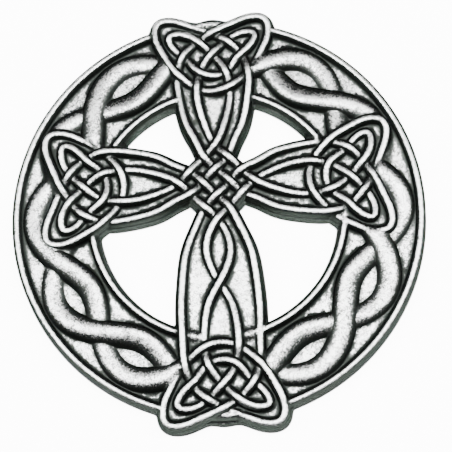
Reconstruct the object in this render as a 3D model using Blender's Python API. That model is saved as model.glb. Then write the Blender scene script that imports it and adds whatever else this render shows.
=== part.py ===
"""Ringed cross medallion, cast in one piece.

A flat ring carries a braid of two broad strands between two narrow rims.  The cross laid over it is
covered by one alternating knot: every strand passes over and under in turn.  The back is flat, on z = 0,
the foot of the cross points along -Y, and the origin is at the middle of the ring.  Metres, +Z up.
"""
import math

import bpy
import numpy as np
from mathutils import Vector
from mathutils.geometry import delaunay_2d_cdt

# Plan of the ring
RING_RADIUS = 0.0250
WINDOW_RADIUS = 0.0148
RIM_WIDTH = 0.0012
RIM_INSET = 0.00054
BRAID_WIDTH = 0.0032
BRAID_OUTER_LAP = 0.00014
BRAID_INNER_GAP = 0.00030
BRAID_LEAN = 0.00040
SADDLE_BULGE = 0.00040

# Heights above the back
FIELD_HEIGHT = 0.0017
RIM_RISE = 0.0009
BRAID_RISE = 0.0011
BRAID_DROP = 0.00127
BRAID_WEAVE = 0.00025
BRAID_SLANT = 0.08
CROSS_FLOOR_RISE = 0.0004
STRAND_RISE = 0.0013
STRAND_DROP = 0.00110
STRAND_WEAVE = 0.00025
FOOT_BAR_RISE = 0.0004

# Cross and its strands
CROSS_CENTRE_SHARE = 0.156
STRAND_WIDTH = 0.00136
EDGE_MARGIN = 0.00006
DRAFT_DEG = 6.0

# Roundness of the profiles: 2 is an ellipse, more is flatter on top with steeper sides
STRAND_ROUNDNESS = 2.4
BRAID_ROUNDNESS = 2.1
RIM_ROUNDNESS = 2.2

# Spacing of the facets
STRAND_STEP = 0.00080
STRAND_ROWS = (0.5, 1.0)
BRAID_STEP = 0.0011
BRAID_ROWS = (0.0, 0.42, 0.76, 1.0)
RIM_STEP = 0.00080
RIM_ROWS = (0.0, 1.0)
EDGE_STEP = 0.00085
CLOSEST = 0.00030
MEETING = 0.00002

PEWTER = (0.33, 0.33, 0.32, 1.0)

# The cross is drawn in twenty-fifths of the ring's radius, from its own centre
UNIT = RING_RADIUS / 25.0
OUTER_RIM = RING_RADIUS - RIM_INSET
INNER_RIM = WINDOW_RADIUS + RIM_INSET
MIDDLE_RADIUS = 0.5 * (OUTER_RIM + INNER_RIM)
CROSS_Y = CROSS_CENTRE_SHARE * RING_RADIUS
SIDE_ARM_SHIFT = -0.4
SHAFT_SHIFT = 8.1
STEM_FROM = 4.0
STEM_LENGTH = 5.0
FOOT_BAR_FROM = 2.2
SADDLE_RADIUS = 4.0
CORNER_RADIUS = 0.6
LINE_STEP = 0.12
WINDOW_SEEDS = ((7.3, 9.6), (-7.3, 9.6), (8.6, -3.6), (-8.6, -3.6))

# One arm, pointing up: its outer strand from the right border to the band on the axis ...
BORDER = [(1.375, 3.1), (2.3, 5.1), (3.3, 7.1), (3.87, 9.05), (4.3, 11.5)]
HEART = [(4.35, 14.5), (3.25, 16.95), (1.25, 18.65), (-1.0, 19.85), (-3.0, 20.65), (-5.0, 21.3), (-6.7, 20.95),
         (-7.05, 19.1), (-6.25, 17.05), (-5.2, 15.15), (-3.45, 13.2), (-1.2, 11.85)]
# ... and its inner strand from the plait to the far side of its loop
PETAL = [(0.0, 4.7), (1.1, 7.05), (1.9, 10.0)]
LOOPS = [(2.0, 12.3), (1.5, 14.5), (0.1, 16.5), (-1.7, 18.25), (-3.9, 19.35), (-5.3, 19.05), (-4.9, 17.7),
         (-3.2, 16.0), (-1.5, 14.1)]
# The long foot of the cross has stems of its own; its inner strands cross once more on the way
SHAFT_BORDER = [(1.375, 3.1), (2.55, 5.35), (3.75, 8.2), (4.4, 12.0), (4.65, 16.0), (4.55, 20.0)]
SHAFT_PETAL = [(0.0, 4.7), (1.45, 8.5), (0.0, 12.55), (-1.4, 15.2), (-2.0, 18.6)]

# Angles at which the two strands of the braid cross, from the +X axis
BRAID_CROSSINGS_DEG = [13.5, 42.3, 71.5, 106.0, 138.2, 164.5, 194.5, 224.0, 254.0, 285.0, 316.4, 346.4]


def smooth_loop(points, step):
    """Run a closed cubic spline through the points, and return points on it that lie a step apart."""
    points = np.array(points)
    count = len(points)
    following = np.roll(points, -1, axis=0)
    spans = np.linalg.norm(following - points, axis=1) ** 0.75
    system = np.zeros((count, count))
    right = np.zeros((count, 2))
    for i in range(count):
        before = spans[i - 1]
        after = spans[i]
        system[i, i - 1] += before
        system[i, i] += 2.0 * (before + after)
        system[i, (i + 1) % count] += after
        right[i] = 6.0 * ((following[i] - points[i]) / after - (points[i] - points[i - 1]) / before)
    bend = np.linalg.solve(system, right)
    share = np.linspace(0.0, 1.0, 40, endpoint=False)[:, None]
    fine = []
    for i in range(count):
        span = spans[i]
        start_bend = bend[i]
        end_bend = bend[(i + 1) % count]
        curve = (1.0 - share) * points[i] + share * following[i]
        curve += ((1.0 - share) ** 3 - (1.0 - share)) * start_bend * span ** 2 / 6.0
        curve += (share ** 3 - share) * end_bend * span ** 2 / 6.0
        fine.append(curve)
    return even_loop(np.vstack(fine), step)


def even_loop(points, step):
    """Space the points of a closed line evenly, about a step apart."""
    closed = np.vstack([points, points[:1]])
    run = np.concatenate([[0.0], np.cumsum(np.linalg.norm(np.diff(closed, axis=0), axis=1))])
    count = max(8, round(run[-1] / step))
    at = np.arange(count) * run[-1] / count
    return np.column_stack([np.interp(at, run, closed[:, 0]), np.interp(at, run, closed[:, 1])])


def place_on_arm(points, arm, shift):
    """Turn an arm's own points to arm 0 top, 1 right, 2 foot or 3 left, and lengthen its stem by the shift."""
    placed = []
    for across, out in points:
        ease = min(1.0, max(0.0, (out - STEM_FROM) / STEM_LENGTH))
        out = out + shift * ease
        x, y = [(across, out), (out, -across), (-across, -out), (-out, across)][arm]
        placed.append((x * UNIT, CROSS_Y + y * UNIT))
    return placed


def mirrored(points):
    return [(-x, y) for x, y in reversed(points)]


def arm_strands(arm):
    """Return the outer and the inner strand of one arm, from end to end."""
    if arm == 2:
        head_outer = [(x, y + SHAFT_SHIFT) for x, y in HEART]
        head_inner = [(-x, y + SHAFT_SHIFT) for x, y in LOOPS]
        outer = SHAFT_BORDER + head_outer
        inner = SHAFT_PETAL + head_inner
        shift = 0.0
    else:
        outer = BORDER + HEART
        inner = PETAL + LOOPS
        shift = 0.0 if arm == 0 else SIDE_ARM_SHIFT
    return [place_on_arm(line + mirrored(line), arm, shift) for line in (outer, inner)]


def strand_loops():
    """Run the outer and the inner strand round all four arms, straight through the plait in the middle."""
    loops = []
    for lines in zip(*[arm_strands(arm) for arm in range(4)]):
        loop = []
        for line, following in zip(lines, lines[1:] + lines[:1]):
            (x0, y0), (x1, y1) = line[-1], following[0]
            loop += line + [(0.5 * (x0 + x1), 0.5 * (y0 + y1))]
        loops.append(loop)
    return loops


def braid_path():
    """Return the middle radius of the braid, and how far its two strands swing to either side of it."""
    furthest = OUTER_RIM - 0.5 * RIM_WIDTH + BRAID_OUTER_LAP - 0.5 * BRAID_WIDTH
    nearest = INNER_RIM + 0.5 * RIM_WIDTH + BRAID_INNER_GAP + 0.5 * BRAID_WIDTH
    return 0.5 * (furthest + nearest), 0.5 * (furthest - nearest)


def braid_loops(step):
    """Return the two strands of the braid; they swing between the rims and cross at the given angles."""
    middle, swing = braid_path()
    knots = np.radians(BRAID_CROSSINGS_DEG)
    count = len(knots)
    known = np.concatenate([knots - 2.0 * math.pi, knots, knots + 2.0 * math.pi])
    phase = math.pi * np.arange(-count, 2 * count)
    angle = np.linspace(0.0, 2.0 * math.pi, 720, endpoint=False)
    turn = np.interp(angle, known, phase)
    loops = []
    for side in (1.0, -1.0):
        radius = middle + side * swing * np.sin(turn)
        loops.append(even_loop(np.column_stack([radius * np.cos(angle), radius * np.sin(angle)]), step))
    return loops


def braid_lean(points):
    """Return how far to the left of its middle line a strand has its crest: away from the eyes of the braid."""
    middle, swing = braid_path()
    return BRAID_LEAN * (middle - np.linalg.norm(points, axis=1)) / swing


class Weave:
    """Closed strands of one width that pass over and under each other in turn."""

    def __init__(self, loops, width, top, weave, drop, roundness, first_over, lean=None, slant=0.0):
        self.half = 0.5 * width
        self.drop = drop
        self.roundness = roundness
        self.slant = slant
        self.lines = [even_loop(line, LINE_STEP * UNIT) for line in loops]
        self.leans = [np.zeros(len(line)) if lean is None else lean(line) for line in self.lines]
        crossings = self.find_crossings()
        visits, over = self.over_in_turn(crossings, first_over)
        self.levels = []
        for number, line in enumerate(self.lines):
            self.levels.append(top + weave * self.over_and_under(len(line), visits[number], over))

    def find_crossings(self):
        """List each crossing as a pair of (loop, index) places, one on each strand."""
        starts = np.vstack(self.lines)
        ends = np.vstack([np.roll(line, -1, axis=0) for line in self.lines])
        owner = np.concatenate([np.full(len(line), n) for n, line in enumerate(self.lines)])
        index = np.concatenate([np.arange(len(line)) for line in self.lines])
        along = ends - starts
        found = []
        for i in range(len(starts)):
            near = np.nonzero(np.abs(starts[i + 1:] - starts[i]).max(axis=1) < 3.0 * LINE_STEP * UNIT)[0] + i + 1
            for j in near:
                ring = len(self.lines[owner[i]])
                if owner[i] == owner[j] and min((index[j] - index[i]) % ring, (index[i] - index[j]) % ring) < 4:
                    continue
                cross = along[i, 0] * along[j, 1] - along[i, 1] * along[j, 0]
                if abs(cross) < 1e-14:
                    continue
                gap = starts[j] - starts[i]
                first = (gap[0] * along[j, 1] - gap[1] * along[j, 0]) / cross
                second = (gap[0] * along[i, 1] - gap[1] * along[i, 0]) / cross
                if 0.0 <= first < 1.0 and 0.0 <= second < 1.0:
                    found.append(((owner[i], index[i]), (owner[j], index[j])))
        return found

    def over_in_turn(self, crossings, first_over):
        """Walk the loops and let each strand go over and under in turn, from one chosen crossing."""
        visits = {n: [] for n in range(len(self.lines))}
        for number, pair in enumerate(crossings):
            for side, (loop, index) in enumerate(pair):
                visits[loop].append((index, number, side))
        for places in visits.values():
            places.sort()
        chosen, wanted = (np.array(pair) for pair in first_over)
        places = [self.lines[loop][index] for (loop, index), _ in crossings]
        seed = min(range(len(crossings)), key=lambda n: np.linalg.norm(places[n] - chosen))
        along = [abs(self.heading(loop, index) @ wanted) for loop, index in crossings[seed]]
        over = {seed: 0 if along[0] > along[1] else 1}
        waiting = list(visits)
        while waiting:
            loop = next(n for n in waiting if any(number in over for _, number, _ in visits[n]))
            waiting.remove(loop)
            places = visits[loop]
            base = next(k for k, (_, number, _) in enumerate(places) if number in over)
            upper = over[places[base][1]] == places[base][2]
            for _, number, side in places[base:] + places[:base]:
                over.setdefault(number, side if upper else 1 - side)
                upper = not upper
        return visits, over

    def heading(self, loop, index):
        line = self.lines[loop]
        step = line[(index + 1) % len(line)] - line[index]
        return step / np.linalg.norm(step)

    def over_and_under(self, length, places, over):
        """Return +1 where the strand passes over, -1 where it passes under, with a smooth way between."""
        at = np.array([index for index, _, _ in places], float)
        state = np.array([1.0 if over[number] == side else -1.0 for _, number, side in places])
        at = np.concatenate([at - length, at, at + length])
        state = np.tile(state, 3)
        index = np.arange(length)
        after = np.searchsorted(at, index, side="right")
        share = (index - at[after - 1]) / (at[after] - at[after - 1])
        blend = 0.5 - 0.5 * np.cos(math.pi * share)
        return state[after - 1] * (1.0 - blend) + state[after] * blend

    def measure(self, points):
        """Return for each point the height of the strands there and its distance from the nearest middle line."""
        reach = self.half + UNIT
        height = np.full(len(points), -1.0)
        nearest = np.full(len(points), reach)
        chunk = 24
        for line, level, lean in zip(self.lines, self.levels, self.leans):
            length = len(line)
            for first in range(0, length, chunk):
                index = np.arange(first, min(first + chunk, length) + 1) % length
                piece = line[index]
                low = piece.min(axis=0) - reach
                high = piece.max(axis=0) + reach
                near = np.nonzero(((points > low) & (points < high)).all(axis=1))[0]
                if len(near) == 0:
                    continue
                start = piece[:-1]
                along = piece[1:] - start
                offset = points[near][:, None, :] - start[None, :, :]
                size = (along ** 2).sum(axis=1)
                share = np.clip((offset * along).sum(axis=2) / size, 0.0, 1.0)
                gap = np.linalg.norm(offset - share[:, :, None] * along, axis=2)
                best = gap.argmin(axis=1)
                rows = np.arange(len(near))
                gap = gap[rows, best]
                share = share[rows, best]
                left = along[best, 0] * offset[rows, best, 1] > along[best, 1] * offset[rows, best, 0]
                crest = level[index[best]] * (1.0 - share) + level[index[best + 1]] * share
                shift = lean[index[best]] * (1.0 - share) + lean[index[best + 1]] * share
                surface = self.surface(points[near], crest, np.where(left, gap, -gap), shift)
                height[near] = np.maximum(height[near], np.where(gap < self.half, surface, -1.0))
                nearest[near] = np.minimum(nearest[near], gap)
        return height, nearest

    def surface(self, points, crest, offset, shift):
        """Return the height of a strand at points that lie to the left or right of its middle line."""
        aside = offset - shift
        across = np.minimum(np.abs(aside) / (self.half - np.sign(aside) * shift), 1.0)
        fall = self.drop * (1.0 - (1.0 - across ** self.roundness) ** (1.0 / self.roundness))
        return crest - fall - self.slant * (np.linalg.norm(points, axis=1) - MIDDLE_RADIUS)

    def stations(self, number, step):
        """Return places along a strand with the way across it, the height of its crest and the crest's lean."""
        line = self.lines[number]
        level = self.levels[number]
        length = len(line)
        run = np.linalg.norm(np.roll(line, -1, axis=0) - line, axis=1).sum()
        count = max(12, round(run / step))
        at = np.arange(count) * length / count
        low = np.floor(at).astype(int)
        part = at - low
        middle = line[low] * (1.0 - part)[:, None] + line[(low + 1) % length] * part[:, None]
        along = line[(low + 2) % length] - line[low - 1]
        along /= np.linalg.norm(along, axis=1)[:, None]
        crest = level[low] * (1.0 - part) + level[(low + 1) % length] * part
        return middle, np.column_stack([-along[:, 1], along[:, 0]]), crest, self.leans[number][low]


def winding(points, outline):
    """Return how many times the closed outline runs round each point."""
    total = np.zeros(len(points), int)
    start = outline
    end = np.roll(outline, -1, axis=0)
    for (x0, y0), (x1, y1) in zip(start, end):
        side = (x1 - x0) * (points[:, 1] - y0) - (points[:, 0] - x0) * (y1 - y0)
        total += ((y0 <= points[:, 1]) & (y1 > points[:, 1]) & (side > 0.0)).astype(int)
        total -= ((y0 > points[:, 1]) & (y1 <= points[:, 1]) & (side < 0.0)).astype(int)
    return total


class Relief:
    """The front of the casting as a height over its plan."""

    def __init__(self):
        loops = [smooth_loop(line, 0.25 * UNIT) for line in strand_loops()]
        upper_crossing = (0.0, CROSS_Y + 1.75 * UNIT)
        self.cross = Weave(loops, STRAND_WIDTH, FIELD_HEIGHT + STRAND_RISE - STRAND_WEAVE, STRAND_WEAVE,
                           STRAND_DROP, STRAND_ROUNDNESS, (upper_crossing, (1.0, 1.0)))
        angle = math.radians(BRAID_CROSSINGS_DEG[1])
        crossing = (MIDDLE_RADIUS * math.cos(angle), MIDDLE_RADIUS * math.sin(angle))
        inward = (-math.sin(angle) - 0.7 * math.cos(angle), math.cos(angle) - 0.7 * math.sin(angle))
        self.braid = Weave(braid_loops(0.25 * UNIT), BRAID_WIDTH, FIELD_HEIGHT + BRAID_RISE - BRAID_WEAVE,
                           BRAID_WEAVE, BRAID_DROP, BRAID_ROUNDNESS, (crossing, inward), braid_lean, BRAID_SLANT)
        outer = [arm_strands(arm)[0] for arm in range(4)]
        self.arms = [smooth_loop(line, 0.3 * UNIT) for line in outer]
        self.arms.append(np.array([line[end] for line in outer for end in (-1, 0)]))
        self.edge = 0.5 * STRAND_WIDTH + EDGE_MARGIN

    def inside_cross(self, points):
        inside = np.zeros(len(points), bool)
        for outline in self.arms:
            inside |= winding(points, outline) != 0
        return inside

    def rim_profile(self, offset):
        across = np.minimum(np.abs(offset) / (0.5 * RIM_WIDTH), 1.0)
        return 1.1 * (1.0 - across ** RIM_ROUNDNESS) ** (1.0 / RIM_ROUNDNESS) - 0.1

    def height(self, points):
        """Return the height of the front at each point, and whether it lies on the cross."""
        radius = np.linalg.norm(points, axis=1)
        ring = np.full(len(points), FIELD_HEIGHT)
        for rim in (OUTER_RIM, INNER_RIM):
            ring = np.maximum(ring, FIELD_HEIGHT + RIM_RISE * self.rim_profile(radius - rim))
        ring = np.maximum(ring, self.braid.measure(points)[0])
        strands, gap = self.cross.measure(points)
        on_cross = self.inside_cross(points)
        floor = FIELD_HEIGHT + CROSS_FLOOR_RISE
        foot_bar = (points[:, 1] < 0.0) & (np.abs(points[:, 0]) > FOOT_BAR_FROM * UNIT)
        bar = floor + np.where(foot_bar, FOOT_BAR_RISE * self.rim_profile(radius - INNER_RIM), 0.0)
        base = np.where(on_cross, np.maximum(floor, bar), ring)
        return np.maximum(base, strands), on_cross | (gap < 0.5 * STRAND_WIDTH)

    def rows(self, weave, step, shares):
        """Return rows along the strands, at shares of the way from the crest to where the strand goes under."""
        points = []
        for number in range(len(weave.lines)):
            middle, side, crest, shift = weave.stations(number, step)
            middle = middle + side * shift[:, None]
            seen = self.height(middle)[0] < weave.surface(middle, crest, shift, shift) + MEETING
            middle, side, crest, shift = middle[seen], side[seen], crest[seen], shift[seen]
            for way in (1.0, -1.0):
                reach = weave.half - way * shift
                near = np.zeros(len(middle))
                far = np.ones(len(middle))
                for _ in range(9):
                    share = 0.5 * (near + far)
                    aside = way * share * reach
                    place = middle + side * aside[:, None]
                    covered = self.height(place)[0] > weave.surface(place, crest, shift + aside, shift) + MEETING
                    far = np.where(covered, share, far)
                    near = np.where(covered, near, share)
                points += [middle + side * (way * share * far * reach)[:, None] for share in shares]
        return np.vstack(points)

    def clear_distance(self, points):
        """Return the distance from the nearest strand's edge."""
        return self.cross.measure(points)[1] - self.edge


def blend_least(first, second, radius):
    """Return the lesser of two distances, with a rounded corner where they meet."""
    share = np.clip(0.5 + 0.5 * (second - first) / radius, 0.0, 1.0)
    return second * (1.0 - share) + first * share - radius * share * (1.0 - share)


def ray_outline(centre, start, toward, clearance, count):
    """Follow rays from a distance outward (+1) or inward (-1) until nothing is clear any more."""
    angle = np.arange(count) * 2.0 * math.pi / count
    direction = np.column_stack([np.cos(angle), np.sin(angle)])
    along = np.full(count, start)
    for _ in range(80):
        along += toward * clearance(centre + direction * along[:, None])
    return centre + direction * along[:, None]


def plan_outlines(relief, step):
    """Return the outer edge and the four windows, anticlockwise, as evenly spaced points."""
    corner = CORNER_RADIUS * UNIT

    def outside(points):
        ring = np.linalg.norm(points, axis=1) - RING_RADIUS
        for end in (1.0, -1.0):
            middle = np.array([0.0, end * (RING_RADIUS + SADDLE_BULGE - SADDLE_RADIUS * UNIT)])
            ring = np.minimum(ring, np.linalg.norm(points - middle, axis=1) - SADDLE_RADIUS * UNIT)
        return blend_least(ring, relief.clear_distance(points), corner)

    def in_window(points):
        ring = WINDOW_RADIUS - np.linalg.norm(points, axis=1)
        return blend_least(ring, relief.clear_distance(points), corner)

    outer = ray_outline(np.zeros(2), 1.1 * RING_RADIUS, -1.0, outside, 1440)
    outlines = [even_loop(outer, step)]
    for x, y in WINDOW_SEEDS:
        seed = np.array([x * UNIT, y * UNIT])
        window = ray_outline(seed, 0.2 * UNIT, 1.0, in_window, 720)
        outlines.append(even_loop(window, step))
    return outlines


def keep_apart(groups, closest):
    """Take the groups of points in turn, and leave out each one that comes too close to one before."""
    kept = []
    cells = {}
    for points, hold in groups:
        for x, y in points:
            cell = (math.floor(x / closest), math.floor(y / closest))
            free = True
            if not hold:
                for i in (-1, 0, 1):
                    for j in (-1, 0, 1):
                        for a, b in cells.get((cell[0] + i, cell[1] + j), ()):
                            if (a - x) ** 2 + (b - y) ** 2 < closest ** 2:
                                free = False
            if free:
                kept.append((x, y))
                cells.setdefault(cell, []).append((x, y))
    return np.array(kept)


def inside_plan(points, outlines):
    inside = winding(points, outlines[0]) != 0
    for window in outlines[1:]:
        inside &= winding(points, window) == 0
    return inside


def triangulate(points, outlines):
    """Return triangles over the plan, with the outlines as edges; the outlines' points come first."""
    edges = []
    first = 0
    for outline in outlines:
        count = len(outline)
        edges += [(first + i, first + (i + 1) % count) for i in range(count)]
        first += count
    flat = [Vector((x / UNIT, y / UNIT)) for x, y in points]
    places, _, faces, origins, _, _ = delaunay_2d_cdt(flat, edges, [], 0, 1e-5)
    source = [min(origin) for origin in origins]
    triangles = np.array([[source[v] for v in face] for face in faces])
    middle = points[triangles].mean(axis=1)
    return triangles[inside_plan(middle, outlines)]


def drafted(outline, height):
    """Move each point of an outline out of the metal by the draft of a wall of that height."""
    step = np.roll(outline, -1, axis=0) - np.roll(outline, 1, axis=0)
    normal = np.column_stack([step[:, 1], -step[:, 0]]) / np.linalg.norm(step, axis=1)[:, None]
    return outline + normal * height[:, None] * math.tan(math.radians(DRAFT_DEG))


def front_points(relief, outlines):
    """Choose the points of the front: along the edges, the strands, the braid and the rims."""
    strands = relief.rows(relief.cross, STRAND_STEP, STRAND_ROWS)
    braid = relief.rows(relief.braid, BRAID_STEP, BRAID_ROWS)
    rims = []
    for rim, inward in ((OUTER_RIM, -1.0), (INNER_RIM, 1.0)):
        for share in RIM_ROWS:
            circle = rim + 0.5 * inward * share * RIM_WIDTH
            count = round(2.0 * math.pi * circle / RIM_STEP)
            angle = np.arange(count) * 2.0 * math.pi / count
            rims.append(np.column_stack([circle * np.cos(angle), circle * np.sin(angle)]))
    rims = np.vstack(rims)
    groups = []
    for points in (strands, rims, braid):
        away = inside_plan(points, outlines)
        if points is not strands:
            away &= ~relief.height(points)[1]
        groups.append((points[away], False))
    return groups


def build_solid():
    """Make the closed solid: the relief on top, drafted walls round every edge and the flat back."""
    relief = Relief()
    outlines = plan_outlines(relief, EDGE_STEP)
    border = np.vstack(outlines)
    points = keep_apart([(border, True)] + front_points(relief, outlines), CLOSEST)
    top = triangulate(points, outlines)
    height = relief.height(points)[0]
    lowered = [drafted(outlines[0], height[:len(outlines[0])])]
    first = len(outlines[0])
    for window in outlines[1:]:
        wall = height[first:first + len(window)]
        lowered.append(drafted(window, -wall))
        first += len(window)
    back = triangulate(np.vstack(lowered), lowered)
    vertices = [(x, y, z) for (x, y), z in zip(points, height)]
    below = len(vertices)
    vertices += [(x, y, 0.0) for x, y in np.vstack(lowered)]
    faces = [tuple(face) for face in top]
    faces += [(a + below, c + below, b + below) for a, b, c in back]
    first = 0
    for number, outline in enumerate(outlines):
        count = len(outline)
        for i in range(count):
            a = first + i
            b = first + (i + 1) % count
            if number > 0:
                a, b = b, a
            faces.append((a, a + below, b + below))
            faces.append((a, b + below, b))
        first += count
    return vertices, faces


def pewter():
    material = bpy.data.materials.new("antique pewter")
    material.use_nodes = True
    shader = material.node_tree.nodes["Principled BSDF"]
    shader.inputs["Base Color"].default_value = PEWTER
    shader.inputs["Metallic"].default_value = 1.0
    shader.inputs["Roughness"].default_value = 0.35
    return material


def main():
    for thing in list(bpy.data.objects):
        bpy.data.objects.remove(thing)
    vertices, faces = build_solid()
    mesh = bpy.data.meshes.new("medallion")
    mesh.from_pydata(vertices, [], faces)
    mesh.materials.append(pewter())
    mesh.validate()
    medallion = bpy.data.objects.new("medallion", mesh)
    bpy.context.scene.collection.objects.link(medallion)


main()
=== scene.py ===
"""Looks of the ringed cross medallion: the fine relief of the casting, its antiqued pewter, the stage and
the camera.  The relief is worked out as the solid's is, from the same sizes, with closer points."""
import math

import bpy
import numpy as np
from mathutils import Matrix, Vector
from mathutils.geometry import delaunay_2d_cdt


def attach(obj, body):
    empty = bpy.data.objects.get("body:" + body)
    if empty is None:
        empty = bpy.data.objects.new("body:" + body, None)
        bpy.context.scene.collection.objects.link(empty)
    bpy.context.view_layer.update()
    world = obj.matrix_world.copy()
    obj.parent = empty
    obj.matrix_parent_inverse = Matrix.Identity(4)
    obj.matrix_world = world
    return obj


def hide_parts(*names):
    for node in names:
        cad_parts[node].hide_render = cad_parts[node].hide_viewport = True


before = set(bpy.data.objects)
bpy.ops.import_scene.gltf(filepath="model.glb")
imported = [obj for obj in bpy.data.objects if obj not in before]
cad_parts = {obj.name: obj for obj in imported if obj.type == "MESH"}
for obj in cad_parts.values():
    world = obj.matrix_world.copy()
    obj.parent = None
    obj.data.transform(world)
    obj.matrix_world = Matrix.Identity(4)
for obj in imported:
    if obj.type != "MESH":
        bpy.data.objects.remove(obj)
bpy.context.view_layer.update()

# Plan of the ring
RING_RADIUS = 0.0250
WINDOW_RADIUS = 0.0148
RIM_WIDTH = 0.0012
RIM_INSET = 0.00054
BRAID_WIDTH = 0.0032
BRAID_OUTER_LAP = 0.00014
BRAID_INNER_GAP = 0.00030
BRAID_LEAN = 0.00040
SADDLE_BULGE = 0.00040

# Heights above the back
FIELD_HEIGHT = 0.0017
RIM_RISE = 0.0009
BRAID_RISE = 0.0011
BRAID_DROP = 0.00127
BRAID_WEAVE = 0.00025
BRAID_SLANT = 0.08
CROSS_FLOOR_RISE = 0.0004
STRAND_RISE = 0.0013
STRAND_DROP = 0.00110
STRAND_WEAVE = 0.00025
FOOT_BAR_RISE = 0.0004

# Cross and its strands
CROSS_CENTRE_SHARE = 0.156
STRAND_WIDTH = 0.00136
EDGE_MARGIN = 0.00006
DRAFT_DEG = 6.0

# Roundness of the profiles: 2 is an ellipse, more is flatter on top with steeper sides
STRAND_ROUNDNESS = 2.4
BRAID_ROUNDNESS = 2.1
RIM_ROUNDNESS = 2.2
# Share of the rim's rise by which its sides run down below the field
RIM_SINK = 0.1

# Spacing of the points
STRAND_STEP = 0.00018
STRAND_ROWS = (0.0, 0.18, 0.36, 0.52, 0.66, 0.78, 0.88, 0.95, 1.0, 1.07)
BRAID_STEP = 0.00026
BRAID_ROWS = (0.0, 0.12, 0.24, 0.36, 0.48, 0.59, 0.69, 0.78, 0.86, 0.93, 1.0, 1.03)
RIM_STEP = 0.00026
RIM_ROWS = (0.0, 0.3, -0.3, 0.55, -0.55, 0.75, -0.75, 0.9, -0.9, 1.0, -1.0, 1.09, -1.09)
FLOOR_STEP = 0.00036
EDGE_STEP = 0.00022
CLOSEST = 0.00004
MEETING = 0.00002

# Fineness of the splines, and of the searches for crossings, strand feet and outlines
PARALLEL = 1e-14
HALVINGS = 9
RAY_STEPS = 80
WINDOW_RAYS = 720
SPLINE_PARTS = 40
CHUNK = 24

# Edges of the walls: how far out and down from the top edge, and out and up from the back
EDGE_TOP = ((0.00004, 0.00003), (0.00007, 0.00010))
EDGE_FOOT = ((0.0, 0.00016), (-0.00004, 0.00005), (-0.00014, 0.0))
BACK_STEP = 0.0012

# Patina and painted shade: the amount comes from the depth (patina in the hollows), the slope (painted shade
# on steep sides) and three noises
HEIGHT_CELL = 0.00010
RECESS_SPREAD = 0.00030
RECESS_UNIT = 0.00010
RECESS_WEIGHT = 0.20
# Painted shade: steep sides are darkened by their slope
SLOPE_SHADE_WEIGHT = 4.0
POLISH = 0.03
# Painted shade on the walls, by height: a little darker at the top edge than at the foot
WALL_SHADE_TOP = 0.85
WALL_SHADE_FOOT = 0.70
# Each noise has a scale, a detail, a roughness and a share in the patina: grain, specks and clouds
NOISES = (
    (9000.0, 3.0, 0.60, 1.9),
    (2600.0, 4.0, 0.65, 1.3),
    (420.0, 3.0, 0.50, 0.5),
)
GRAIN_SHARE = 0.6
BUMP_HEIGHT = 0.00005
POLISHED_ROUGHNESS = 0.34
PATINA_ROUGHNESS = 0.50
# Colour of the metal at each amount of patina and painted shade
TONES = (
    (0.00, (0.80, 0.81, 0.80, 1.0)),
    (0.08, (0.22, 0.225, 0.22, 1.0)),
    (0.20, (0.095, 0.100, 0.096, 1.0)),
    (0.42, (0.050, 0.055, 0.051, 1.0)),
    (0.85, (0.026, 0.030, 0.027, 1.0)),
)

# Stage
FLOOR_HALF = 1.0
FLOOR_GAP = 0.00002
FLOOR_GLOW = 10.0
WORLD_STRENGTH = 0.004
# Each light has a name, a direction, a distance, its two sides and a power
LIGHTS = (
    ("key", (0.05, 0.09, 1.0), 0.30, (0.90, 0.07), 6.6),
)

# Camera, from the outline of the ring in the photograph
FRAME_PIXELS = 452.0
FOCAL_PIXELS = 1300.0
CAMERA_DISTANCE = 0.156895
CAMERA_TIP_DEG = 14.828
CAMERA_LEAN_DEG = 3.230
OBJECT_TURN_DEG = 2.75
OFFSET_X = -0.00106297
OFFSET_Y = 0.00169481
AIM_HEIGHT = 0.0025
SENSOR_WIDTH_MM = 36.0
CLIP_START = 0.005

# The cross is drawn in twenty-fifths of the ring's radius, from its own centre
UNIT = RING_RADIUS / 25.0
OUTER_RIM = RING_RADIUS - RIM_INSET
INNER_RIM = WINDOW_RADIUS + RIM_INSET
MIDDLE_RADIUS = 0.5 * (OUTER_RIM + INNER_RIM)
CROSS_Y = CROSS_CENTRE_SHARE * RING_RADIUS
SIDE_ARM_SHIFT = -0.4
SHAFT_SHIFT = 8.1
STEM_FROM = 4.0
STEM_LENGTH = 5.0
FOOT_BAR_FROM = 2.2
SADDLE_RADIUS = 4.0
CORNER_RADIUS = 0.6
# Upper corner of the plait, and the steps of the lines along the strands
PLAIT_TOP = 1.75
SPLINE_STEP = 0.25
ARM_STEP = 0.3
LINE_STEP = 0.12
# A point inside each window
WINDOW_SEEDS = ((7.3, 9.6), (-7.3, 9.6), (8.6, -3.6), (-8.6, -3.6))

# One arm, pointing up: its outer strand from the right border to the band on the axis ...
BORDER = [(1.375, 3.1), (2.3, 5.1), (3.3, 7.1), (3.87, 9.05), (4.3, 11.5)]
HEART = [(4.35, 14.5), (3.25, 16.95), (1.25, 18.65), (-1.0, 19.85), (-3.0, 20.65), (-5.0, 21.3),
         (-6.7, 20.95), (-7.05, 19.1), (-6.25, 17.05), (-5.2, 15.15), (-3.45, 13.2), (-1.2, 11.85)]
# ... and its inner strand from the plait to the far side of its loop
PETAL = [(0.0, 4.7), (1.1, 7.05), (1.9, 10.0)]
LOOPS = [(2.0, 12.3), (1.5, 14.5), (0.1, 16.5), (-1.7, 18.25), (-3.9, 19.35), (-5.3, 19.05),
         (-4.9, 17.7), (-3.2, 16.0), (-1.5, 14.1)]
# The long foot of the cross has stems of its own; its inner strands cross once more on the way
SHAFT_BORDER = [(1.375, 3.1), (2.55, 5.35), (3.75, 8.2), (4.4, 12.0), (4.65, 16.0), (4.55, 20.0)]
SHAFT_PETAL = [(0.0, 4.7), (1.45, 8.5), (0.0, 12.55), (-1.4, 15.2), (-2.0, 18.6)]

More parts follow.
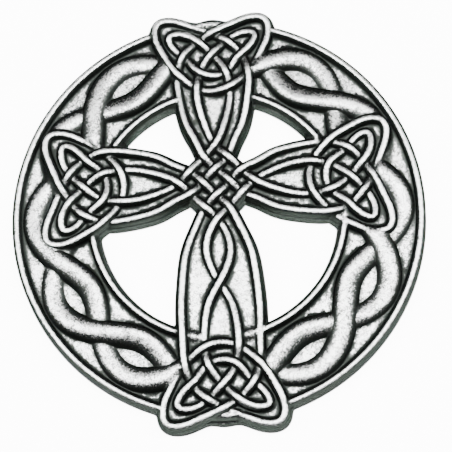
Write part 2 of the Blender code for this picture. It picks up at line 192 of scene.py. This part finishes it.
# Angles at which the two strands of the braid cross, from the +X axis
BRAID_CROSSINGS_DEG = [13.5, 42.3, 71.5, 106.0, 138.2, 164.5, 194.5, 224.0, 254.0, 285.0, 316.4, 346.4]


def smooth_loop(points, step):
    """Run a closed cubic spline through the points, and return points on it that lie a step apart."""
    points = np.array(points)
    count = len(points)
    following = np.roll(points, -1, axis=0)
    spans = np.linalg.norm(following - points, axis=1) ** 0.75
    system = np.zeros((count, count))
    right = np.zeros((count, 2))
    for i in range(count):
        before = spans[i - 1]
        after = spans[i]
        system[i, i - 1] += before
        system[i, i] += 2.0 * (before + after)
        system[i, (i + 1) % count] += after
        right[i] = 6.0 * ((following[i] - points[i]) / after - (points[i] - points[i - 1]) / before)
    bend = np.linalg.solve(system, right)
    share = np.linspace(0.0, 1.0, SPLINE_PARTS, endpoint=False)[:, None]
    fine = []
    for i in range(count):
        span = spans[i]
        start_bend = bend[i]
        end_bend = bend[(i + 1) % count]
        curve = (1.0 - share) * points[i] + share * following[i]
        curve += ((1.0 - share) ** 3 - (1.0 - share)) * start_bend * span ** 2 / 6.0
        curve += (share ** 3 - share) * end_bend * span ** 2 / 6.0
        fine.append(curve)
    return even_loop(np.vstack(fine), step)


def even_loop(points, step):
    """Space the points of a closed line evenly, about a step apart."""
    closed = np.vstack([points, points[:1]])
    run = np.concatenate([[0.0], np.cumsum(np.linalg.norm(np.diff(closed, axis=0), axis=1))])
    count = max(8, round(run[-1] / step))
    at = np.arange(count) * run[-1] / count
    return np.column_stack([np.interp(at, run, closed[:, 0]), np.interp(at, run, closed[:, 1])])


def place_on_arm(points, arm, shift):
    """Turn an arm's own points to arm 0 top, 1 right, 2 foot or 3 left, with its stem longer by the shift."""
    placed = []
    for across, out in points:
        ease = min(1.0, max(0.0, (out - STEM_FROM) / STEM_LENGTH))
        out = out + shift * ease
        x, y = [(across, out), (out, -across), (-across, -out), (-out, across)][arm]
        placed.append((x * UNIT, CROSS_Y + y * UNIT))
    return placed


def mirrored(points):
    return [(-x, y) for x, y in reversed(points)]


def arm_strands(arm):
    """Return the outer and the inner strand of one arm, from end to end."""
    if arm == 2:
        head_outer = [(x, y + SHAFT_SHIFT) for x, y in HEART]
        head_inner = [(-x, y + SHAFT_SHIFT) for x, y in LOOPS]
        outer = SHAFT_BORDER + head_outer
        inner = SHAFT_PETAL + head_inner
        shift = 0.0
    else:
        outer = BORDER + HEART
        inner = PETAL + LOOPS
        shift = 0.0 if arm == 0 else SIDE_ARM_SHIFT
    return [place_on_arm(line + mirrored(line), arm, shift) for line in (outer, inner)]


def strand_loops():
    """Run the outer and the inner strand round all four arms, straight through the plait in the middle."""
    loops = []
    for lines in zip(*[arm_strands(arm) for arm in range(4)]):
        loop = []
        for line, following in zip(lines, lines[1:] + lines[:1]):
            (x0, y0), (x1, y1) = line[-1], following[0]
            loop += line + [(0.5 * (x0 + x1), 0.5 * (y0 + y1))]
        loops.append(loop)
    return loops


def braid_path():
    """Return the middle radius of the braid, and how far its two strands swing to either side of it."""
    furthest = OUTER_RIM - 0.5 * RIM_WIDTH + BRAID_OUTER_LAP - 0.5 * BRAID_WIDTH
    nearest = INNER_RIM + 0.5 * RIM_WIDTH + BRAID_INNER_GAP + 0.5 * BRAID_WIDTH
    return 0.5 * (furthest + nearest), 0.5 * (furthest - nearest)


def braid_loops(step):
    """Return the two strands of the braid; they swing between the rims and cross at the given angles."""
    middle, swing = braid_path()
    knots = np.radians(BRAID_CROSSINGS_DEG)
    count = len(knots)
    known = np.concatenate([knots - 2.0 * math.pi, knots, knots + 2.0 * math.pi])
    phase = math.pi * np.arange(-count, 2 * count)
    angle = np.linspace(0.0, 2.0 * math.pi, 720, endpoint=False)
    turn = np.interp(angle, known, phase)
    loops = []
    for side in (1.0, -1.0):
        radius = middle + side * swing * np.sin(turn)
        loops.append(even_loop(np.column_stack([radius * np.cos(angle), radius * np.sin(angle)]), step))
    return loops


def braid_lean(points):
    """Return how far left of its middle line a strand has its crest, away from the eyes of the braid."""
    middle, swing = braid_path()
    return BRAID_LEAN * (middle - np.linalg.norm(points, axis=1)) / swing


class Weave:
    """Closed strands of one width that pass over and under each other in turn."""

    def __init__(self, loops, width, top, weave, drop, roundness, first_over, lean=None, slant=0.0):
        self.half = 0.5 * width
        self.drop = drop
        self.roundness = roundness
        self.slant = slant
        self.lines = [even_loop(line, LINE_STEP * UNIT) for line in loops]
        self.leans = [np.zeros(len(line)) if lean is None else lean(line) for line in self.lines]
        crossings = self.find_crossings()
        visits, over = self.over_in_turn(crossings, first_over)
        self.levels = []
        for number, line in enumerate(self.lines):
            self.levels.append(top + weave * self.over_and_under(len(line), visits[number], over))

    def find_crossings(self):
        """List each crossing as a pair of (loop, index) places, one on each strand."""
        starts = np.vstack(self.lines)
        ends = np.vstack([np.roll(line, -1, axis=0) for line in self.lines])
        owner = np.concatenate([np.full(len(line), n) for n, line in enumerate(self.lines)])
        index = np.concatenate([np.arange(len(line)) for line in self.lines])
        along = ends - starts
        found = []
        for i in range(len(starts)):
            away = np.abs(starts[i + 1:] - starts[i]).max(axis=1)
            for j in np.nonzero(away < 3.0 * LINE_STEP * UNIT)[0] + i + 1:
                ring = len(self.lines[owner[i]])
                steps = (index[j] - index[i]) % ring
                if owner[i] == owner[j] and min(steps, ring - steps) < 4:
                    continue
                cross = along[i, 0] * along[j, 1] - along[i, 1] * along[j, 0]
                if abs(cross) < PARALLEL:
                    continue
                gap = starts[j] - starts[i]
                first = (gap[0] * along[j, 1] - gap[1] * along[j, 0]) / cross
                second = (gap[0] * along[i, 1] - gap[1] * along[i, 0]) / cross
                if 0.0 <= first < 1.0 and 0.0 <= second < 1.0:
                    found.append(((owner[i], index[i]), (owner[j], index[j])))
        return found

    def over_in_turn(self, crossings, first_over):
        """Walk the loops and let each strand go over and under in turn, from one chosen crossing."""
        visits = {n: [] for n in range(len(self.lines))}
        for number, pair in enumerate(crossings):
            for side, (loop, index) in enumerate(pair):
                visits[loop].append((index, number, side))
        for places in visits.values():
            places.sort()
        chosen, wanted = (np.array(pair) for pair in first_over)
        places = [self.lines[loop][index] for (loop, index), _ in crossings]
        seed = min(range(len(crossings)), key=lambda n: np.linalg.norm(places[n] - chosen))
        along = [abs(self.heading(loop, index) @ wanted) for loop, index in crossings[seed]]
        over = {seed: 0 if along[0] > along[1] else 1}
        waiting = list(visits)
        while waiting:
            loop = next(n for n in waiting if any(number in over for _, number, _ in visits[n]))
            waiting.remove(loop)
            places = visits[loop]
            base = next(k for k, (_, number, _) in enumerate(places) if number in over)
            upper = over[places[base][1]] == places[base][2]
            for _, number, side in places[base:] + places[:base]:
                over.setdefault(number, side if upper else 1 - side)
                upper = not upper
        return visits, over

    def heading(self, loop, index):
        line = self.lines[loop]
        step = line[(index + 1) % len(line)] - line[index]
        return step / np.linalg.norm(step)

    def over_and_under(self, length, places, over):
        """Return +1 where the strand passes over, -1 where it passes under, with a smooth way between."""
        at = np.array([index for index, _, _ in places], float)
        state = np.array([1.0 if over[number] == side else -1.0 for _, number, side in places])
        at = np.concatenate([at - length, at, at + length])
        state = np.tile(state, 3)
        index = np.arange(length)
        after = np.searchsorted(at, index, side="right")
        share = (index - at[after - 1]) / (at[after] - at[after - 1])
        blend = 0.5 - 0.5 * np.cos(math.pi * share)
        return state[after - 1] * (1.0 - blend) + state[after] * blend

    def measure(self, points):
        """Return for each point the height of the strands and the distance to the nearest middle line."""
        reach = self.half + UNIT
        height = np.full(len(points), -1.0)
        nearest = np.full(len(points), reach)
        for line, level, lean in zip(self.lines, self.levels, self.leans):
            length = len(line)
            for first in range(0, length, CHUNK):
                index = np.arange(first, min(first + CHUNK, length) + 1) % length
                piece = line[index]
                low = piece.min(axis=0) - reach
                high = piece.max(axis=0) + reach
                near = np.nonzero(((points > low) & (points < high)).all(axis=1))[0]
                if len(near) == 0:
                    continue
                start = piece[:-1]
                along = piece[1:] - start
                offset = points[near][:, None, :] - start[None, :, :]
                size = (along ** 2).sum(axis=1)
                share = np.clip((offset * along).sum(axis=2) / size, 0.0, 1.0)
                gap = np.linalg.norm(offset - share[:, :, None] * along, axis=2)
                best = gap.argmin(axis=1)
                rows = np.arange(len(near))
                gap = gap[rows, best]
                share = share[rows, best]
                left = along[best, 0] * offset[rows, best, 1] > along[best, 1] * offset[rows, best, 0]
                crest = level[index[best]] * (1.0 - share) + level[index[best + 1]] * share
                shift = lean[index[best]] * (1.0 - share) + lean[index[best + 1]] * share
                surface = self.surface(points[near], crest, np.where(left, gap, -gap), shift)
                height[near] = np.maximum(height[near], np.where(gap < self.half, surface, -1.0))
                nearest[near] = np.minimum(nearest[near], gap)
        return height, nearest

    def surface(self, points, crest, offset, shift):
        """Return the height of a strand at points that lie to the left or right of its middle line."""
        aside = offset - shift
        across = np.minimum(np.abs(aside) / (self.half - np.sign(aside) * shift), 1.0)
        fall = self.drop * (1.0 - (1.0 - across ** self.roundness) ** (1.0 / self.roundness))
        return crest - fall - self.slant * (np.linalg.norm(points, axis=1) - MIDDLE_RADIUS)

    def stations(self, number, step):
        """Return places along a strand, the way across it, the height of its crest and the crest's lean."""
        line = self.lines[number]
        level = self.levels[number]
        length = len(line)
        run = np.linalg.norm(np.roll(line, -1, axis=0) - line, axis=1).sum()
        count = max(12, round(run / step))
        at = np.arange(count) * length / count
        low = np.floor(at).astype(int)
        part = at - low
        middle = line[low] * (1.0 - part)[:, None] + line[(low + 1) % length] * part[:, None]
        along = line[(low + 2) % length] - line[low - 1]
        along /= np.linalg.norm(along, axis=1)[:, None]
        crest = level[low] * (1.0 - part) + level[(low + 1) % length] * part
        return middle, np.column_stack([-along[:, 1], along[:, 0]]), crest, self.leans[number][low]


def winding(points, outline):
    """Return how many times the closed outline runs round each point."""
    total = np.zeros(len(points), int)
    start = outline
    end = np.roll(outline, -1, axis=0)
    for (x0, y0), (x1, y1) in zip(start, end):
        side = (x1 - x0) * (points[:, 1] - y0) - (points[:, 0] - x0) * (y1 - y0)
        total += ((y0 <= points[:, 1]) & (y1 > points[:, 1]) & (side > 0.0)).astype(int)
        total -= ((y0 > points[:, 1]) & (y1 <= points[:, 1]) & (side < 0.0)).astype(int)
    return total


class Relief:
    """The front of the casting as a height over its plan."""

    def __init__(self):
        loops = [smooth_loop(line, SPLINE_STEP * UNIT) for line in strand_loops()]
        first_over = ((0.0, CROSS_Y + PLAIT_TOP * UNIT), (1.0, 1.0))
        top = FIELD_HEIGHT + STRAND_RISE - STRAND_WEAVE
        self.cross = Weave(loops, STRAND_WIDTH, top, STRAND_WEAVE, STRAND_DROP, STRAND_ROUNDNESS, first_over)
        angle = math.radians(BRAID_CROSSINGS_DEG[1])
        crossing = (MIDDLE_RADIUS * math.cos(angle), MIDDLE_RADIUS * math.sin(angle))
        inward = (-math.sin(angle) - 0.7 * math.cos(angle), math.cos(angle) - 0.7 * math.sin(angle))
        top = FIELD_HEIGHT + BRAID_RISE - BRAID_WEAVE
        self.braid = Weave(braid_loops(SPLINE_STEP * UNIT), BRAID_WIDTH, top, BRAID_WEAVE, BRAID_DROP,
                           BRAID_ROUNDNESS, (crossing, inward), braid_lean, BRAID_SLANT)
        outer = [arm_strands(arm)[0] for arm in range(4)]
        self.arms = [smooth_loop(line, ARM_STEP * UNIT) for line in outer]
        self.arms.append(np.array([line[end] for line in outer for end in (-1, 0)]))
        self.edge = 0.5 * STRAND_WIDTH + EDGE_MARGIN

    def inside_cross(self, points):
        inside = np.zeros(len(points), bool)
        for outline in self.arms:
            inside |= winding(points, outline) != 0
        return inside

    def rim_profile(self, offset):
        across = np.minimum(np.abs(offset) / (0.5 * RIM_WIDTH), 1.0)
        return (1.0 + RIM_SINK) * (1.0 - across ** RIM_ROUNDNESS) ** (1.0 / RIM_ROUNDNESS) - RIM_SINK

    def height(self, points):
        """Return the height of the front at each point, and whether it lies on the cross."""
        radius = np.linalg.norm(points, axis=1)
        ring = np.full(len(points), FIELD_HEIGHT)
        for rim in (OUTER_RIM, INNER_RIM):
            ring = np.maximum(ring, FIELD_HEIGHT + RIM_RISE * self.rim_profile(radius - rim))
        ring = np.maximum(ring, self.braid.measure(points)[0])
        strands, gap = self.cross.measure(points)
        on_cross = self.inside_cross(points)
        floor = FIELD_HEIGHT + CROSS_FLOOR_RISE
        foot_bar = (points[:, 1] < 0.0) & (np.abs(points[:, 0]) > FOOT_BAR_FROM * UNIT)
        bar = floor + np.where(foot_bar, FOOT_BAR_RISE * self.rim_profile(radius - INNER_RIM), 0.0)
        base = np.where(on_cross, np.maximum(floor, bar), ring)
        return np.maximum(base, strands), on_cross | (gap < 0.5 * STRAND_WIDTH)

    def rows(self, weave, step, shares):
        """Return rows along the strands, at shares of the way from the crest to where a strand goes under."""
        points = []
        for number in range(len(weave.lines)):
            middle, side, crest, shift = weave.stations(number, step)
            middle = middle + side * shift[:, None]
            seen = self.height(middle)[0] < weave.surface(middle, crest, shift, shift) + MEETING
            middle, side, crest, shift = middle[seen], side[seen], crest[seen], shift[seen]
            for way in (1.0, -1.0):
                reach = weave.half - way * shift
                near = np.zeros(len(middle))
                far = np.ones(len(middle))
                for _ in range(HALVINGS):
                    share = 0.5 * (near + far)
                    aside = way * share * reach
                    place = middle + side * aside[:, None]
                    own = weave.surface(place, crest, shift + aside, shift)
                    covered = self.height(place)[0] > own + MEETING
                    far = np.where(covered, share, far)
                    near = np.where(covered, near, share)
                points += [middle + side * (way * share * far * reach)[:, None] for share in shares]
        return np.vstack(points)

    def clear_distance(self, points):
        """Return the distance from the nearest strand's edge."""
        return self.cross.measure(points)[1] - self.edge


def blend_least(first, second, radius):
    """Return the lesser of two distances, with a rounded corner where they meet."""
    share = np.clip(0.5 + 0.5 * (second - first) / radius, 0.0, 1.0)
    return second * (1.0 - share) + first * share - radius * share * (1.0 - share)


def ray_outline(centre, start, toward, clearance, count):
    """Follow rays from a distance outward (+1) or inward (-1) until nothing is clear any more."""
    angle = np.arange(count) * 2.0 * math.pi / count
    direction = np.column_stack([np.cos(angle), np.sin(angle)])
    along = np.full(count, start)
    for _ in range(RAY_STEPS):
        along += toward * clearance(centre + direction * along[:, None])
    return centre + direction * along[:, None]


def plan_outlines(relief, step):
    """Return the outer edge and the four windows, anticlockwise, as evenly spaced points."""
    corner = CORNER_RADIUS * UNIT

    def outside(points):
        ring = np.linalg.norm(points, axis=1) - RING_RADIUS
        for end in (1.0, -1.0):
            middle = np.array([0.0, end * (RING_RADIUS + SADDLE_BULGE - SADDLE_RADIUS * UNIT)])
            ring = np.minimum(ring, np.linalg.norm(points - middle, axis=1) - SADDLE_RADIUS * UNIT)
        return blend_least(ring, relief.clear_distance(points), corner)

    def in_window(points):
        ring = WINDOW_RADIUS - np.linalg.norm(points, axis=1)
        return blend_least(ring, relief.clear_distance(points), corner)

    outer = ray_outline(np.zeros(2), 1.1 * RING_RADIUS, -1.0, outside, 2 * WINDOW_RAYS)
    outlines = [even_loop(outer, step)]
    for x, y in WINDOW_SEEDS:
        seed = np.array([x * UNIT, y * UNIT])
        window = ray_outline(seed, 0.2 * UNIT, 1.0, in_window, WINDOW_RAYS)
        outlines.append(even_loop(window, step))
    return outlines


def inside_plan(points, outlines):
    inside = winding(points, outlines[0]) != 0
    for window in outlines[1:]:
        inside &= winding(points, window) == 0
    return inside


def triangulate(points, outlines):
    """Return triangles over the plan, with the outlines as edges; the outlines' points come first."""
    edges = []
    first = 0
    for outline in outlines:
        count = len(outline)
        edges += [(first + i, first + (i + 1) % count) for i in range(count)]
        first += count
    flat = [Vector((x / UNIT, y / UNIT)) for x, y in points]
    places, _, faces, origins, _, _ = delaunay_2d_cdt(flat, edges, [], 0, 1e-5)
    source = [min(origin) for origin in origins]
    triangles = np.array([[source[v] for v in face] for face in faces])
    middle = points[triangles].mean(axis=1)
    return triangles[inside_plan(middle, outlines)]


def front_points(relief, outlines):
    """Choose the points of the front: rows along the strands, the rims and the braid, then a fine grid."""
    strands = relief.rows(relief.cross, STRAND_STEP, STRAND_ROWS)
    braid = relief.rows(relief.braid, BRAID_STEP, BRAID_ROWS)
    rims = []
    for rim in (OUTER_RIM, INNER_RIM):
        for share in RIM_ROWS:
            circle = rim + 0.5 * share * RIM_WIDTH
            count = round(2.0 * math.pi * circle / RIM_STEP)
            angle = np.arange(count) * 2.0 * math.pi / count
            rims.append(np.column_stack([circle * np.cos(angle), circle * np.sin(angle)]))
    rims = np.vstack(rims)
    groups = [(strands[inside_plan(strands, outlines)], CLOSEST)]
    for points in (rims, braid):
        seen = inside_plan(points, outlines) & ~relief.height(points)[1]
        groups.append((points[seen], CLOSEST))
    grid = point_grid(FLOOR_STEP)
    grid[:, 0] += 0.5 * FLOOR_STEP * (np.round(grid[:, 1] / FLOOR_STEP) % 2)
    groups.append((grid[inside_plan(grid, outlines)], 0.6 * FLOOR_STEP))
    return groups


def point_grid(step):
    """Return the points of a square grid that covers the whole casting."""
    line = np.arange(-1.08 * RING_RADIUS, 1.08 * RING_RADIUS, step)
    return np.stack(np.meshgrid(line, line), axis=-1).reshape(-1, 2)


def keep_apart(groups):
    """Take the groups of points in turn, and leave out each one that comes too close to one before."""
    kept = []
    cells = {}
    cell_size = max(closest for _, closest in groups)
    for points, closest in groups:
        limit = closest ** 2
        for x, y in points.tolist():
            i = math.floor(x / cell_size)
            j = math.floor(y / cell_size)
            around = [cells.get((a, b), ()) for a in (i - 1, i, i + 1) for b in (j - 1, j, j + 1)]
            near = (place for cell in around for place in cell)
            if closest == 0.0 or all((u - x) ** 2 + (v - y) ** 2 >= limit for u, v in near):
                kept.append((x, y))
                cells.setdefault((i, j), []).append((x, y))
    return np.array(kept)


def edge_rows(outline, height, outward):
    """Return the rows of a wall, from just under the rounded top edge to the rounded foot on the back."""
    step = np.roll(outline, -1, axis=0) - np.roll(outline, 1, axis=0)
    normal = outward * np.column_stack([step[:, 1], -step[:, 0]]) / np.linalg.norm(step, axis=1)[:, None]
    draft = math.tan(math.radians(DRAFT_DEG))
    rows = []
    for out, down in EDGE_TOP:
        rows.append((outline + normal * (out + draft * down), height - down))
    for out, z in EDGE_FOOT:
        reach = EDGE_TOP[-1][0] + draft * (height - z) + out
        rows.append((outline + normal * reach[:, None], np.full(len(outline), z)))
    return rows


def build_casting():
    """Make the closed mesh: the relief on top, soft-edged drafted walls and the flat back."""
    relief = Relief()
    outlines = plan_outlines(relief, EDGE_STEP)
    points = keep_apart([(np.vstack(outlines), 0.0)] + front_points(relief, outlines))
    height = relief.height(points)[0]
    vertices = [np.column_stack([points, height])]
    faces = [tuple(face) for face in triangulate(points, outlines)]
    total = len(points)
    first = 0
    feet = []
    for number, outline in enumerate(outlines):
        count = len(outline)
        above = np.arange(first, first + count)
        for place, z in edge_rows(outline, height[first:first + count], 1.0 if number == 0 else -1.0):
            below = np.arange(total, total + count)
            vertices.append(np.column_stack([place, z]))
            total += count
            for i in range(count):
                j = (i + 1) % count
                quad = (above[i], below[i], below[j], above[j])
                faces.append(quad if number == 0 else quad[::-1])
            above = below
        feet.append((place, above))
        first += count
    back_outlines = [place for place, _ in feet]
    grid = point_grid(BACK_STEP)
    grid = grid[inside_plan(grid, back_outlines)]
    flat = keep_apart([(np.vstack(back_outlines), 0.0), (grid, 0.5 * BACK_STEP)])
    numbers = np.concatenate([row for _, row in feet])
    extra = flat[len(numbers):]
    vertices.append(np.column_stack([extra, np.zeros(len(extra))]))
    numbers = np.concatenate([numbers, np.arange(total, total + len(extra))])
    faces += [tuple(numbers[[a, c, b]]) for a, b, c in triangulate(flat, back_outlines)]
    return relief, np.vstack(vertices), faces, len(points)


def blurred(grid, spread):
    """Blur a grid of heights with a bell curve, spread in cells."""
    reach = int(3 * spread)
    bell = np.exp(-0.5 * (np.arange(-reach, reach + 1) / spread) ** 2)
    bell /= bell.sum()
    for _ in range(2):
        padded = np.pad(grid, ((reach, reach), (0, 0)), mode="edge")
        grid = sum(weight * padded[k:k + grid.shape[0]] for k, weight in enumerate(bell)).T
    return grid


def recesses(relief, vertices):
    """Return for each point how far it lies below the surface around it, in units of RECESS_UNIT."""
    grid = point_grid(HEIGHT_CELL)
    count = round(math.sqrt(len(grid)))
    around = blurred(relief.height(grid)[0].reshape(count, count), RECESS_SPREAD / HEIGHT_CELL)
    place = (vertices[:, :2] - grid[0]) / HEIGHT_CELL
    low = np.clip(np.floor(place).astype(int), 0, count - 2)
    (i, j), (s, t) = low.T, (place - low).T
    smooth = (around[j, i] * (1 - s) + around[j, i + 1] * s) * (1 - t)
    smooth += (around[j + 1, i] * (1 - s) + around[j + 1, i + 1] * s) * t
    return (smooth - vertices[:, 2]) / RECESS_UNIT


def node(tree, kind, **values):
    made = tree.nodes.new(kind)
    for name, value in values.items():
        if name in made.inputs:
            made.inputs[name].default_value = value
        else:
            setattr(made, name, value)
    return made


def pewter():
    """Antiqued pewter: polished high spots, a fine grain, black patina in grooves, and painted shade on steep
    sides and walls.
    """
    material = bpy.data.materials.new("antique_pewter")
    material.use_nodes = True
    tree = material.node_tree
    link = tree.links.new
    shader = tree.nodes["Principled BSDF"]
    coords = node(tree, "ShaderNodeTexCoord")
    amount = node(tree, "ShaderNodeAttribute", attribute_name="patina_and_shade")

    def math_node(operation, first, second):
        made = node(tree, "ShaderNodeMath", operation=operation)
        for socket, value in zip(made.inputs, (first, second)):
            if isinstance(value, float):
                socket.default_value = value
            else:
                link(value, socket)
        return made.outputs[0]

    # The attribute holds patina and painted shade, and the noises add uneven tone
    dirt_and_shade = amount.outputs["Fac"]
    spots = []
    for scale, detail, roughness, weight in NOISES:
        noise = node(tree, "ShaderNodeTexNoise", Scale=scale, Detail=detail, Roughness=roughness)
        link(coords.outputs["Object"], noise.inputs["Vector"])
        spots.append(noise.outputs["Fac"])
        uneven = math_node("MULTIPLY", math_node("SUBTRACT", noise.outputs["Fac"], 0.5), weight)
        dirt_and_shade = math_node("ADD", dirt_and_shade, uneven)
    tone = node(tree, "ShaderNodeValToRGB")
    stops = tone.color_ramp.elements
    stops[0].position = TONES[0][0]
    stops[0].color = TONES[0][1]
    stops[1].position = TONES[-1][0]
    stops[1].color = TONES[-1][1]
    for place, colour in TONES[1:-1]:
        stops.new(place).color = colour
    link(dirt_and_shade, tone.inputs["Fac"])
    link(tone.outputs["Color"], shader.inputs["Base Color"])
    rough = node(tree, "ShaderNodeMapRange")
    rough.inputs["From Min"].default_value = 0.1
    rough.inputs["From Max"].default_value = 0.9
    rough.inputs["To Min"].default_value = POLISHED_ROUGHNESS
    rough.inputs["To Max"].default_value = PATINA_ROUGHNESS
    link(dirt_and_shade, rough.inputs["Value"])
    link(rough.outputs["Result"], shader.inputs["Roughness"])
    shader.inputs["Metallic"].default_value = 1.0
    shader.inputs["Specular Tint"].default_value = (0.1, 0.1, 0.1, 1.0)
    height = math_node("ADD", math_node("MULTIPLY", spots[0], GRAIN_SHARE), spots[1])
    bump = node(tree, "ShaderNodeBump", Strength=1.0, Distance=BUMP_HEIGHT)
    link(height, bump.inputs["Height"])
    link(bump.outputs["Normal"], shader.inputs["Normal"])
    return material


def patina_and_shade(depth, slope, height, front_count):
    """Return the patina and painted shade at each point: patina in the grooves, painted shade on steep sides,
    and painted shade on the walls by height.
    """
    # Painted shade on steep sides by slope, added to the patina in the recesses
    amount = RECESS_WEIGHT * depth + SLOPE_SHADE_WEIGHT * slope - POLISH
    up = height[front_count:] / FIELD_HEIGHT
    # The walls get painted shade by height in place of patina
    amount[front_count:] = WALL_SHADE_FOOT + (WALL_SHADE_TOP - WALL_SHADE_FOOT) * np.clip(up, 0.0, 1.0)
    return amount.astype(np.float32)


def make_medallion():
    relief, vertices, faces, front_count = build_casting()
    mesh = bpy.data.meshes.new("casting")
    mesh.from_pydata(vertices.tolist(), [], faces)
    mesh.validate()
    mesh.shade_smooth()
    normals = np.zeros(len(mesh.vertices) * 3)
    mesh.vertices.foreach_get("normal", normals)
    # The slope of each point sets its painted shade on steep sides
    slope = 1.0 - np.abs(normals.reshape(-1, 3)[:, 2])
    depth = recesses(relief, vertices)
    layer = mesh.attributes.new("patina_and_shade", "FLOAT", "POINT")
    layer.data.foreach_set("value", patina_and_shade(depth, slope, vertices[:, 2], front_count))
    mesh.materials.append(pewter())
    piece = bpy.data.objects.new("medallion_casting", mesh)
    bpy.context.scene.collection.objects.link(piece)
    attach(piece, "root")
    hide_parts("medallion")


def make_floor():
    mesh = bpy.data.meshes.new("floor")
    half = FLOOR_HALF
    corners = [(-half, -half, 0.0), (half, -half, 0.0), (half, half, 0.0), (-half, half, 0.0)]
    mesh.from_pydata(corners, [], [(0, 1, 2, 3)])
    material = bpy.data.materials.new("pale_floor")
    material.use_nodes = True
    shader = material.node_tree.nodes["Principled BSDF"]
    shader.inputs["Base Color"].default_value = (0.9, 0.9, 0.9, 1.0)
    shader.inputs["Roughness"].default_value = 0.9
    shader.inputs["Emission Color"].default_value = (1.0, 1.0, 1.0, 1.0)
    shader.inputs["Emission Strength"].default_value = FLOOR_GLOW
    mesh.materials.append(material)
    floor = bpy.data.objects.new("floor", mesh)
    floor.location.z = -FLOOR_GAP
    bpy.context.scene.collection.objects.link(floor)


def area_light(name, direction, distance, size, power):
    """Put a rectangular light in a direction from the ring's middle, facing it."""
    data = bpy.data.lights.new(name, "AREA")
    data.shape = "RECTANGLE"
    data.size, data.size_y = size
    data.energy = power
    lamp = bpy.data.objects.new(name, data)
    toward = Vector(direction).normalized()
    along = (Vector((1.0, 0.0, 0.0)) - toward * toward.x).normalized()
    turn = Matrix((along, toward.cross(along), toward)).transposed()
    lamp.matrix_world = Matrix.Translation(toward * distance) @ turn.to_4x4()
    bpy.context.scene.collection.objects.link(lamp)


def make_light():
    world = bpy.data.worlds.new("studio")
    world.use_nodes = True
    background = world.node_tree.nodes["Background"]
    background.inputs["Color"].default_value = (1.0, 1.0, 1.0, 1.0)
    background.inputs["Strength"].default_value = WORLD_STRENGTH
    bpy.context.scene.world = world
    for name, direction, distance, size, power in LIGHTS:
        area_light(name, direction, distance, size, power)


def make_camera():
    """Stand the camera as in the photograph: tipped towards the foot of the cross and a little aside."""
    turn = Matrix.Rotation(math.radians(OBJECT_TURN_DEG), 3, "Z")
    tip = Matrix.Rotation(math.radians(-CAMERA_TIP_DEG), 3, "X")
    lean = Matrix.Rotation(math.radians(-CAMERA_LEAN_DEG), 3, "Y")
    to_camera = lean @ tip @ turn
    back = to_camera.transposed()
    place = back @ Vector((-OFFSET_X, -OFFSET_Y, CAMERA_DISTANCE)) + Vector((0.0, 0.0, AIM_HEIGHT))
    data = bpy.data.cameras.new("camera")
    data.sensor_width = SENSOR_WIDTH_MM
    data.lens = SENSOR_WIDTH_MM * FOCAL_PIXELS / FRAME_PIXELS
    data.clip_start = CLIP_START
    camera = bpy.data.objects.new("camera", data)
    camera.matrix_world = Matrix.Translation(place) @ back.to_4x4()
    bpy.context.scene.collection.objects.link(camera)
    bpy.context.scene.camera = camera


make_medallion()
make_floor()
make_light()
make_camera()
